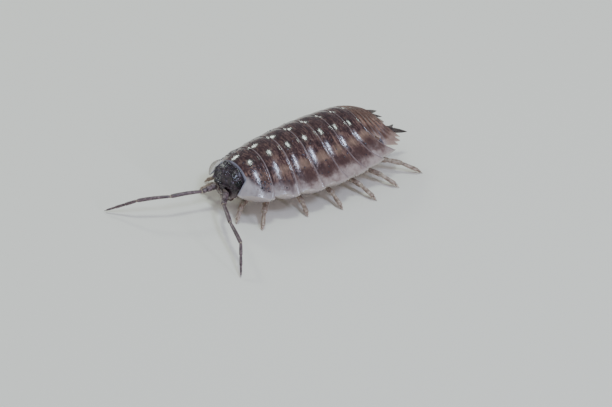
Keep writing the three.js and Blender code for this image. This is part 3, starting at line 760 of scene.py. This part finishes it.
# Geometry Nodes: scatters small domes or short hairs over a piece where its cover attribute allows
def scatterTree(name, shape):
    tree = bpy.data.node_groups.new(name, "GeometryNodeTree")
    sockets = [("Geometry", "NodeSocketGeometry"), ("Density", "NodeSocketFloat"), ("Seed", "NodeSocketInt"),
               ("Smallest", "NodeSocketFloat"), ("Largest", "NodeSocketFloat"), ("Lean", "NodeSocketFloat"),
               ("Finish", "NodeSocketMaterial")]
    for label, kind in sockets:
        tree.interface.new_socket(label, in_out="INPUT", socket_type=kind)
    tree.interface.new_socket("Geometry", in_out="OUTPUT", socket_type="NodeSocketGeometry")
    given = addNode(tree, "NodeGroupInput").outputs
    cover = addNode(tree, "GeometryNodeInputNamedAttribute", {"data_type": "FLOAT"}, {"Name": "cover"})
    amount = addNode(tree, "ShaderNodeMath", {"operation": "MULTIPLY"},
                     [cover.outputs["Attribute"], given["Density"]])
    points = addNode(tree, "GeometryNodeDistributePointsOnFaces", {"distribute_method": "RANDOM"},
                     {"Mesh": given["Geometry"], "Density": amount, "Seed": given["Seed"]})
    lie = addNode(tree, "GeometryNodeInputNamedAttribute", {"data_type": "FLOAT_VECTOR"}, {"Name": "lie"})
    leant = addNode(tree, "ShaderNodeVectorMath", {"operation": "SCALE"},
                    {0: lie.outputs["Attribute"], "Scale": given["Lean"]})
    direction = addNode(tree, "ShaderNodeVectorMath", {"operation": "ADD"}, [points.outputs["Normal"], leant])
    turn = addNode(tree, "FunctionNodeAlignRotationToVector", {"axis": "Z"}, {"Vector": direction})
    if shape == "dome":
        item = addNode(tree, "GeometryNodeMeshIcoSphere", {}, {"Radius": 1.0, "Subdivisions": 2})
        body = addNode(tree, "GeometryNodeTransform", {}, {"Geometry": item, "Scale": (1, 1, 0.6)})
    else:
        item = addNode(tree, "GeometryNodeMeshCone", {},
                       {"Vertices": 5, "Radius Top": 0.01, "Radius Bottom": 0.09, "Depth": 1.2})
        body = addNode(tree, "GeometryNodeTransform", {}, {"Geometry": item, "Translation": (0, 0, -0.2)})
    size = addNode(tree, "FunctionNodeRandomValue", {"data_type": "FLOAT"},
                   {2: given["Smallest"], 3: given["Largest"], "Seed": given["Seed"]})
    placed = addNode(tree, "GeometryNodeInstanceOnPoints", {},
                     {"Points": points, "Instance": body, "Rotation": turn, "Scale": size.outputs[1]})
    real = addNode(tree, "GeometryNodeRealizeInstances", {}, [placed])
    smooth = addNode(tree, "GeometryNodeSetShadeSmooth", {}, [real])
    coloured = addNode(tree, "GeometryNodeSetMaterial", {}, {"Geometry": smooth, "Material": given["Finish"]})
    addNode(tree, "NodeGroupOutput", {}, [coloured])
    return tree


# Hairs: how many to a square millimetre, the shortest and the longest, and how far they lean to the tip
hairs = {
    "antenna": (70, 0.03, 0.065),
    "limb": (24, 0.05, 0.12),
    "tail": (30, 0.04, 0.09),
    "lean": 1.4,
}
hairy = []

# Granules: how many to a square millimetre, the smallest and the largest radius
granules = {
    "head": (34, 0.04, 0.075),
    "firstPlate": (34, 0.03, 0.065),
    "otherPlates": (9, 0.03, 0.065),
}


# Keeps the piece in mind for the hairs that are scattered over it at the end
def settleHairy(piece, slot, *nodes):
    hairy.append((settle(piece, slot, *nodes), slot))


domeTree = scatterTree("scatterGranules", "dome")
hairTree = scatterTree("scatterHairs", "hair")


def scatterOn(base, tree, name, material, slot, amounts, seed, lean=0.0):
    density, smallest, largest = amounts
    modifier = base.modifiers.new("scatter", "NODES")
    modifier.node_group = tree
    wanted = {"Density": density / (mm * mm), "Smallest": smallest * mm, "Largest": largest * mm, "Lean": lean,
              "Seed": seed, "Finish": material}
    for item in tree.interface.items_tree:
        if item.in_out == "INPUT" and item.name in wanted:
            modifier[item.identifier] = wanted[item.name]
    evaluated = base.evaluated_get(bpy.context.evaluated_depsgraph_get())
    mesh = bpy.data.meshes.new_from_object(evaluated)
    base.modifiers.remove(modifier)
    for layer in list(mesh.uv_layers):
        mesh.uv_layers.remove(layer)
    piece = bpy.data.objects.new(name, mesh)
    mesh.name = name
    bpy.context.scene.collection.objects.link(piece)
    return settle(piece, slot)


# The head: a broad dome with three lobes in front, a sloping face, eyes of many lenses

def frontMargin(share):
    middleLobe = head["middleLobe"] * math.exp(-((share / 0.16) ** 2))
    sideLobes = head["sideLobe"] * math.exp(-(((abs(share) - 0.78) / 0.15) ** 2))
    cheek = head["cheek"] * ease(0.88, 1, abs(share))
    return head["front"] + 0.08 + 0.58 * share ** 2 - middleLobe - sideLobes + cheek


# A closed smooth curve through a loop of points
def smoothLoop(points, count):
    out = []
    total = len(points)
    for k in range(count):
        at = k * total / count
        i = int(at)
        t = at - i
        p0, p1, p2, p3 = (Vector(points[(i + j) % total]) for j in (-1, 0, 1, 2))
        out.append(0.5 * (2 * p1 + (p2 - p0) * t + (2 * p0 - 5 * p1 + 4 * p2 - p3) * t * t
                          + (3 * p1 - p0 - 3 * p2 + p3) * t ** 3))
    return out


# One slice of the head from front to back: over the brim and the top, down behind and forward under the face
def headRing(share):
    closing = math.sqrt(max(1 - abs(share) ** 3.2, 0))
    x = share * head["halfWidth"]
    marginY = frontMargin(share)
    sideHeight = head["sideHeight"]
    hindY = head["end"] - 0.02 - 0.12 * (1 - closing)
    footY, footZ = head["faceFoot"]
    marginZ = mix(sideHeight - 0.06, 2.4, closing)
    brim = head["brim"] * closing
    points = [(x, marginY, marginZ), (x, marginY + 0.05, marginZ + 0.05), (x, marginY + brim, marginZ + 0.13)]
    for t in (0.22, 0.36, 0.54, 0.75, 0.96):
        y = mix(marginY + brim * 0.4, hindY, t)
        z = mix(sideHeight, backLine(y) - 0.05, closing)
        points.append((x, y, max(z, marginZ + 0.05) - 0.07 * ease(0.8, 1.0, t)))
    faceY = marginY + brim + 0.02
    points += [
        (x, hindY, mix(sideHeight - 0.1, 2.6, closing)),
        (x, hindY, mix(sideHeight - 0.25, head["floor"] + 0.04, closing)),
        (x, mix(footY, hindY, 0.5), mix(sideHeight - 0.25, head["floor"], closing)),
        (x, max(footY, marginY + 0.1), mix(sideHeight - 0.25, footZ, closing)),
        (x, max(mix(marginY, footY, 0.72), faceY), mix(sideHeight - 0.2, 1.72, closing)),
        (x, faceY, mix(sideHeight - 0.14, 2.1, closing)),
        (x, marginY + 0.05, mix(sideHeight - 0.08, 2.3, closing)),
    ]
    return smoothLoop(points, head["around"])


def makeHead():
    rings = []
    for k in range(head["stations"] + 1):
        rings.append(headRing(0.995 * math.sin(math.pi / 2 * (-1 + 2 * k / head["stations"]))))
    verts, faces = loftRings(rings)
    middle = Vector(head["middle"])
    for v in verts:
        eye = mirrored(head["eyePlace"], 1 if v.x > 0 else -1)
        rim = ((v - eye).length - head["eyeRing"]) / head["eyeRingWidth"]
        v += (v - middle).normalized() * head["eyeRingHeight"] * math.exp(-rim * rim)
        groove = (v.y - head["grooveAt"]) / head["grooveWidth"]
        v.z -= head["grooveDepth"] * math.exp(-groove * groove) * ease(2.6, 3.0, v.z)
        bump = sum(height * noise.noise(v * often) for height, often in head["bumps"])
        v += (v - middle).normalized() * bump
    cover = []
    for v in verts:
        eye = Vector((abs(v.x) - head["eyePlace"][0], v.y - head["eyePlace"][1], v.z - head["eyePlace"][2]))
        cover.append(ease(2.3, 2.8, v.z) * ease(0.3, 0.4, eye.length) + 0.15 * (1 - ease(2.3, 2.6, v.z)))
    piece = meshPiece("head_capsule", verts, faces, [skin["graniteHeadCuticle"]],
                      attributes={"cover": ("FLOAT", cover)})
    return settle(piece, "head_shell", "head")


def eyePiece(side, name):
    builder = Builder()
    centre = mirrored(head["eyePlace"], side)
    radii = head["eyeRadii"]
    turn = side * head["eyeTurn"]

    def onEye(direction, reach):
        p = Vector((direction.x * radii[0], direction.y * radii[1], direction.z * radii[2])) * reach
        return centre + Vector((p.x * math.cos(turn) + p.z * math.sin(turn), p.y,
                                -p.x * math.sin(turn) + p.z * math.cos(turn)))

    builder.add(roundRings(16, 24, lambda a, b, c: onEye(Vector((b, c, a)), 0.95)))
    golden = math.pi * (3 - math.sqrt(5))
    lenses = head["lenses"]
    for i in range(lenses):
        z = 1 - 2 * (i + 0.5) / lenses
        flat = math.sqrt(1 - z * z)
        direction = Vector((flat * math.cos(golden * i), flat * math.sin(golden * i), z))
        if direction.x * side > -0.1:
            addBall(builder, onEye(direction, 0.93), head["lensRadius"], 0, 8)
    return settle(builder.piece(name + "_lenses", [skin["blackEyeLens"]]), "eye", name)


print("head and eyes")
headPiece = makeHead()
eyePiece(1, "eye_left")
eyePiece(-1, "eye_right")
scatterOn(headPiece, domeTree, "head_granules", skin["polishedGranules"], "head_shell", granules["head"], 11)


# Antennae: three short root articles, two long ones and a flagellum of three with a bristle tip

antenna = {
    "left": [(1.33, -0.1, 1.55), (3.42, -1.12, 1.6), (5.68, -1.95, 1.5), (7.36, -3.2, 0.12)],
    "right": [(-0.86, -0.3, 1.55), (-1.6, -2.5, 1.58), (-2.87, -4.46, 1.3), (-4.58, -6.05, 0.14)],
    "root": (0.54, 0.7, 1.8),
    "radii": [0.17, 0.15, 0.14, 0.125],
    "rootArticles": [(0, 0.36, 0.24), (0.34, 0.68, 0.22), (0.66, 0.97, 0.19)],
    "tipArticles": [(0.01, 0.36, 0.12, 0.115), (0.35, 0.66, 0.11, 0.1), (0.65, 0.93, 0.095, 0.06)],
    "bristle": (0.92, 0.035, 0.012),
}
faceNormal = Vector((0, -1, -0.36)).normalized()


def makeAntenna(sideName, side):
    joints = [Vector(p) for p in antenna[sideName]]
    root = mirrored(antenna["root"], side)
    names = [f"antenna_{sideName}_{part}" for part in ("base", "article_4", "article_5", "flagellum")]
    radii = antenna["radii"]
    materials = [skin["greyBrownAntenna"], skin["paleJointSkin"]]
    base = Builder()
    start = root - faceNormal * 0.05
    span = joints[0] - start
    for low, high, thick in antenna["rootArticles"]:
        addArticle(base, start + span * low, start + span * high, thick, thick * 0.92, 0.9, 18)
        addBall(base, start + span * high, thick * 0.62)
    settleHairy(base.piece(names[0] + "_articles", materials), "antenna", names[0])
    for i in (1, 2):
        long = Builder()
        addBall(long, joints[i - 1], radii[i] * 0.8)
        addArticle(long, joints[i - 1], joints[i], radii[i] * 0.9, radii[i], 0.92, 18, bow=0.05)
        settleHairy(long.piece(names[i] + "_article", materials), "antenna", names[i])
    tip = Builder()
    tipSpan = joints[3] - joints[2]
    addBall(tip, joints[2], radii[3] * 0.8)
    for low, high, thick, thin in antenna["tipArticles"]:
        addArticle(tip, joints[2] + tipSpan * low, joints[2] + tipSpan * high, thick, thin, 0.95, 16)
    low, thick, thin = antenna["bristle"]
    addArticle(tip, joints[2] + tipSpan * low, joints[3], thick, thin, 1.0, 8, cover=0.0)
    settleHairy(tip.piece(names[3] + "_articles", materials), "antenna", names[3])


print("antennae")
makeAntenna("left", 1)
makeAntenna("right", -1)


# Legs: seven articles each, from the hip under the belly to a clawed foot

legs = {
    "left": [(2.0, 0.55), (3.71, 1.51), (4.25, 5.17), (5.0, 7.71), (5.5, 10.39), (5.15, 12.75), (4.69, 15.3)],
    "right": [(2.75, 0.85), (3.5, 1.9), (4.5, 4.6), (5.05, 7.1), (5.35, 9.8), (5.1, 13.2), (4.45, 15.0)],
    "hipShare": 0.5,
    "kneeInward": 0.72,
    "kneeLean": 0.22,
    "kneeHeight": 0.74,
    "stops": [(0.3, 0.88), (0.48, 0.94), (0.68, 0.78), (0.93, 0.27)],
    "radii": [0.24, 0.23, 0.225, 0.21, 0.17],
    "hipBall": 0.24,
    "hipRadius": 0.2,
    "kneeBall": 0.15,
    "toe": (0.11, 0.07),
    "claw": (0.04, 0.018),
    "clawHeight": 0.035,
}


def makeLeg(index, side, sideName):
    frontY = pereon[index - 1]["end"] if index else head["end"] + 0.2
    hipY = (frontY + pereon[index]["end"] - shell["tuck"]) / 2
    hip = Vector((side * legs["hipShare"] * outline(hipY), hipY, shell["belly"] + 0.03))
    footAt = mirrored((*legs[sideName][index], 0), side)
    lean = math.copysign(legs["kneeLean"], footAt.y - hip.y)
    knee = Vector((hip.x - side * legs["kneeInward"], hip.y + lean, legs["kneeHeight"]))
    stretch = footAt - knee
    chain = [knee] + [Vector((knee.x + stretch.x * s, knee.y + stretch.y * s, z)) for s, z in legs["stops"]]
    radii = legs["radii"]
    builder = Builder()
    addBall(builder, hip + Vector((0, 0, -0.06)), legs["hipBall"])
    hipStart = hip + Vector((0, 0, -0.02))
    addArticle(builder, hipStart, knee, legs["hipRadius"], radii[0], 0.8, cover=0.3, bow=0.05)
    addBall(builder, knee, legs["kneeBall"])
    for i in range(4):
        rootRadius = radii[i + 1] * (0.86 if i else 0.8)
        addArticle(builder, chain[i], chain[i + 1], rootRadius, radii[i + 1] * 0.95, cover=0.6 + 0.15 * i)
        if i < 3:
            addBall(builder, chain[i + 1], radii[i + 1] * 0.78)
    wrist = chain[4]
    clawEnd = Vector((footAt.x, footAt.y, legs["clawHeight"]))
    addArticle(builder, wrist, mix(wrist, clawEnd, 0.6), *legs["toe"], 0.9, 12)
    addArticle(builder, mix(wrist, clawEnd, 0.5), clawEnd, *legs["claw"], 0.9, 8, cover=0.0)
    name = f"leg_{sideName}_{index + 1}"
    materials = [skin["strawLegCuticle"], skin["paleJointSkin"]]
    settleHairy(builder.piece(name + "_articles", materials), "limb", name)


print("legs")
for index in range(7):
    makeLeg(index, 1, "left")
    makeLeg(index, -1, "right")


# Tail plate, forked tail legs, mouthparts and gill flaps

tail = {
    "halfWidth": 1.1,
    "thickness": 0.16,
    "sink": 0.42,
    "crown": 0.3,
    "ridge": 0.05,
}


def makeTelson():
    rings, uvs = [], []
    for k in range(49):
        share = 0.998 * math.sin(math.pi / 2 * (-1 + k / 24))
        top, under = [], []
        for j in range(25):
            t = j / 24
            x = share * mix(0.06, tail["halfWidth"], (1 - t) ** 1.3)
            y = mix(hindEdge(pleon[-1], x) + 0.03, shell["telsonTip"] - 0.02, t)
            crown = tail["crown"] * (1 - share ** 2) * (1 - t)
            crown += tail["ridge"] * math.exp(-(share / 0.3) ** 2) * (1 - t)
            z = backLine(y) - tail["sink"] + crown - 0.05 * ease(0.9, 1, abs(share))
            top.append((x, y, z))
            depth = tail["thickness"] + 0.5 * (1 - share ** 2) * (1 - t) ** 2
            under.append((x, y, z - depth * math.sqrt(1 - abs(share) ** 8)))
        rings.append(top + under[::-1])
        uvs += [(0.5 + 0.5 * share * 0.7, 0.3 + 0.6 * j / 24) for j in range(25)] * 2
    verts, faces = loftRings(rings, 25)
    kinds = [0 if all(i % 50 < 26 for i in face) else 1 for face in faces]
    piece = meshPiece("telson_plate", verts, faces, [tailMaterial, skin["paleBellyCuticle"]], kinds, uvs)
    return settle(piece, "tail", "telson")


# A root article and two spikes: each spike's start, how far that is under the fork, its end and radius
uropod = {
    "rootX": 1.28,
    "forkAt": (1.36, 14.98),
    "rootRadii": (0.27, 0.26),
    "forkBall": 0.17,
    "spikes": [
        ((1.42, 14.85), 0, (1.72, 16.25, 1.66), 0.24),
        ((1.18, 14.9), 0.04, (0.62, 15.85, 1.86), 0.15),
    ],
    "taper": [(0, 0.4), (0.06, 0.85), (0.2, 1.08), (0.4, 1), (0.6, 0.8), (0.8, 0.5), (0.93, 0.25), (1, 0.06)],
    "flatness": 0.62,
}


def makeUropod(side, name):
    rootX = uropod["rootX"]
    root = Vector((side * rootX, hindEdge(pleon[-1], rootX) + 0.12, backLine(14.5) - 0.62))
    fork = mirrored((*uropod["forkAt"], backLine(15) - 0.5), side)
    builder = Builder()
    addArticle(builder, root, fork + (fork - root) * 0.15, *uropod["rootRadii"], 0.7, 18, cover=0.4)
    addBall(builder, fork, uropod["forkBall"])
    for startAt, drop, endAt, thick in uropod["spikes"]:
        start = mirrored((*startAt, fork.z - drop), side)
        along = mirrored(endAt, side) - start
        path = [start + along * t for t, _ in uropod["taper"]]
        radii = [thick * r for _, r in uropod["taper"]]
        rings = tubeRings(path, radii, uropod["flatness"], 16, levelAcross(along))
        builder.add(rings, 0, 1.0, along.normalized())
    materials = [skin["darkUropodCuticle"], skin["paleJointSkin"]]
    settleHairy(builder.piece(name + "_branches", materials), "tail", name)


# Each plate: its middle across, back and from the head's floor, its half sizes, its finish and its upward way
mouth = {
    "middle": [
        ((0, 0.86, -0.06), (0.36, 0.13, 0.17), 1, (0, 0, 1)),
        ((0, 0.9, -0.22), (0.22, 0.1, 0.12), 1, (0, 0, 1)),
    ],
    "sides": [
        ((0.5, 1.12, -0.06), (0.3, 0.26, 0.22), 2, (0, 0, 1)),
        ((0.2, 0.96, -0.26), (0.07, 0.07, 0.13), 2, (0, 0, 1)),
        ((0.24, 1.24, -0.26), (0.23, 0.3, 0.2), 0, (0.25, 0.1, 0.4)),
        ((0.2, 1.0, -0.37), (0.11, 0.15, 0.07), 0, (0, 0, 1)),
    ],
    "palp": ((0.3, 0.98, -0.34), (0.24, 0.86, -0.4)),
    "palpRadii": (0.05, 0.03),
}


def makeMouth():
    builder = Builder()
    floor = head["floor"]
    for side, plates in ((1, "middle"), (-1, "sides"), (1, "sides")):
        for (x, y, z), (wide, deep, tall), finish, upwards in mouth[plates]:
            up = mirrored(upwards, side).normalized()
            addLozenge(builder, Vector((side * x, y, floor + z)), Vector((1, 0, 0)) * wide,
                       Vector((0, 1, 0)) * deep, up * tall, finish)
        if plates == "sides":
            ends = [Vector((side * x, y, floor + z)) for x, y, z in mouth["palp"]]
            addArticle(builder, *ends, *mouth["palpRadii"], 0.8, 10)
    materials = [skin["paleBellyCuticle"], skin["paleFaceCuticle"], skin["chestnutJaw"]]
    return settle(builder.piece("mouthparts_plates", materials), "belly", "mouthparts")


# Paler plates of the lower face: middle, half width, half height and depth
face = {
    "lower": ((0, 0.76, 1.46), 0.46, 0.2, 0.06),
    "upper": ((0, 0.7, 1.72), 0.2, 0.22, 0.05),
    "socket": (0.31, 0.09),
    "smallFeeler": ((0.17, 0.62, 1.74), 0.07, 0.14),
}


# The paler lower face, and the ring that each antenna grows from
def makeFace():
    builder = Builder()
    level = Vector((1, 0, 0))
    down = level.cross(faceNormal)
    for kind, (place, wide, tall, deep) in enumerate((face["lower"], face["upper"])):
        addLozenge(builder, Vector(place), level * wide, down * tall, faceNormal * deep, kind)
    wide, deep = face["socket"]
    feelerPlace, feelerWide, feelerLong = face["smallFeeler"]
    for side in (-1, 1):
        root = mirrored(antenna["root"], side)
        addLozenge(builder, root - faceNormal * 0.03, level * wide, down * wide, faceNormal * deep)
        addLozenge(builder, mirrored(feelerPlace, side), level * feelerWide, faceNormal * feelerLong,
                   down * feelerWide)
    materials = [skin["paleFaceCuticle"], skin["graniteHeadCuticle"]]
    return settle(builder.piece("face_plates", materials), "head_shell")


# Five pairs of flaps, each a little narrower than the last, on a flat stem under the tail
gills = {
    "stem": ((0, 12.5, -0.3), (0, 14.15, -0.28)),
    "stemRadii": (0.55, 0.45),
    "pairs": 5,
    "spacing": 0.42,
    "firstAt": (0.78, 12.62, -0.42),
    "width": 0.9,
    "narrowing": 0.07,
    "length": 0.5,
    "thickness": 0.07,
    "hang": 0.28,
    "sag": 0.16,
}


def makeGills():
    builder = Builder()
    top = shell["pleonBelly"]
    ends = [Vector((x, y, top + z)) for x, y, z in gills["stem"]]
    addArticle(builder, *ends, *gills["stemRadii"], 0.3, 20)
    firstX, firstY, firstZ = gills["firstAt"]
    for pair in range(gills["pairs"]):
        for side in (-1, 1):
            width = gills["width"] - gills["narrowing"] * pair
            centre = Vector((side * firstX, firstY + gills["spacing"] * pair, top + firstZ))

            def place(a, b, c):
                x, y = a * width, b * gills["length"]
                z = c * gills["thickness"] - gills["hang"] * y - side * gills["sag"] * x
                return centre + Vector((x, y, z))

            builder.add(roundRings(12, 20, place))
    return settle(builder.piece("pleopods_flaps", [skin["paleBellyCuticle"]]), "belly", "pleopods")


print("tail, mouth and gills")
makeTelson()
makeUropod(1, "uropod_left")
makeUropod(-1, "uropod_right")
makeFace()
makeMouth()
makeGills()

print("hairs")
for i, (piece, slot) in enumerate(hairy):
    scatterOn(piece, hairTree, piece.name + "_hairs", skin["paleBristle"], slot, hairs[slot], 50 + i,
              hairs["lean"])

print("granules on the shell")
for i, piece in enumerate(shellPieces[:7]):
    amounts = granules["otherPlates"] if i else granules["firstPlate"]
    name = f"pereonite_{i + 1}_granules"
    scatterOn(piece, domeTree, name, skin["polishedGranules"], "shell", amounts, 20 + i)


# Camera, light and floor

camera = {
    "azimuth": 49.95,
    "elevation": 33.95,
    "roll": 2.42,
    "distance": 245,
    "pixelsPerMm": 14.036,
    "aimPixel": (301.8, 177.1),
    "imageSize": (612, 407),
    "aimAt": (0, 8, 0),
    "sensor": 36,
}


# Each lamp: name, direction from the shell, the angles it fills in degrees, its radiance and colour
lamps = {
    "distance": 260,
    "target": (0, 7, 3),
    "room": ("#e6eaf0", 0.5),
    "all": [
        ("shoulderStrip", (0.57, -0.03, 0.82), (15, 1.6), 130, "#cfe0ff"),
        ("sideStrip", (0.92, 0.15, 0.34), (14, 2), 60, "#e6dfff"),
        ("topPatch", (-0.03, 0.05, 1.0), (12, 7), 38, "#e6fbf2"),
        ("farPatch", (-0.86, 0.05, 0.48), (9, 7), 30, "#f0fff4"),
    ],
}

stage = {
    "halfSize": 600,
    "paper": "#faf4ea",
    "roughness": 0.8,
}


def makeCamera():
    azimuth, elevation = math.radians(camera["azimuth"]), math.radians(camera["elevation"])
    roll = math.radians(camera["roll"])
    back = Vector((math.sin(azimuth) * math.cos(elevation), -math.cos(azimuth) * math.cos(elevation),
                   math.sin(elevation)))
    right = Vector((math.cos(azimuth), math.sin(azimuth), 0))
    up = back.cross(right)
    right, up = right * math.cos(roll) + up * math.sin(roll), up * math.cos(roll) - right * math.sin(roll)
    offRight = (camera["imageSize"][0] / 2 - camera["aimPixel"][0]) / camera["pixelsPerMm"]
    offDown = (camera["imageSize"][1] / 2 - camera["aimPixel"][1]) / camera["pixelsPerMm"]
    place = toRow(camera["aimAt"]) + (back * camera["distance"] + right * offRight - up * offDown) * mm
    data = bpy.data.cameras.new("camera")
    data.sensor_width = camera["sensor"]
    frameWidth = camera["imageSize"][0] / camera["pixelsPerMm"]
    data.lens = camera["sensor"] * camera["distance"] / frameWidth
    data.clip_start, data.clip_end = 0.01, 10
    shot = bpy.data.objects.new("camera", data)
    turn = Matrix((right, up, back)).transposed().to_4x4()
    turn.translation = place
    shot.matrix_world = turn
    bpy.context.scene.collection.objects.link(shot)
    bpy.context.scene.camera = shot


# A lamp stands in a direction from the shell, sized by the angles it fills, with its long side across the body
def areaLight(name, direction, angles, radiance, colour):
    towards = Vector(direction).normalized()
    distance = lamps["distance"] * mm
    width, height = [2 * distance * math.tan(math.radians(angle / 2)) for angle in angles]
    data = bpy.data.lights.new(name, "AREA")
    data.shape = "RECTANGLE"
    data.size, data.size_y = width, height
    data.energy = radiance * math.pi * width * height
    data.color = hexColour(colour)[:3]
    lamp = bpy.data.objects.new(name, data)
    long = (Vector((1, 0, 0)) - towards * towards.x).normalized()
    turn = Matrix((long, towards.cross(long), towards)).transposed().to_4x4()
    turn.translation = toRow(lamps["target"]) + towards * distance
    lamp.matrix_world = turn
    bpy.context.scene.collection.objects.link(lamp)


def makeStage():
    side = stage["halfSize"]
    verts = [(-side, -side, 0), (side, -side, 0), (side, side, 0), (-side, side, 0)]
    mesh = bpy.data.meshes.new("floor")
    mesh.from_pydata([toRow(v) for v in verts], [], [(0, 1, 2, 3)])
    floor = bpy.data.objects.new("floor", mesh)
    bpy.context.scene.collection.objects.link(floor)
    material, shader = newMaterial("paleFloorPaper")
    shader.inputs["Base Color"].default_value = hexColour(stage["paper"])
    shader.inputs["Roughness"].default_value = stage["roughness"]
    mesh.materials.append(material)
    world = bpy.data.worlds.new("paleRoom")
    world.use_nodes = True
    background = world.node_tree.nodes["Background"]
    background.inputs["Color"].default_value = hexColour(lamps["room"][0])
    background.inputs["Strength"].default_value = lamps["room"][1]
    bpy.context.scene.world = world


print("camera, light and floor")
makeCamera()
for lamp in lamps["all"]:
    areaLight(*lamp)
makeStage()

print("done")
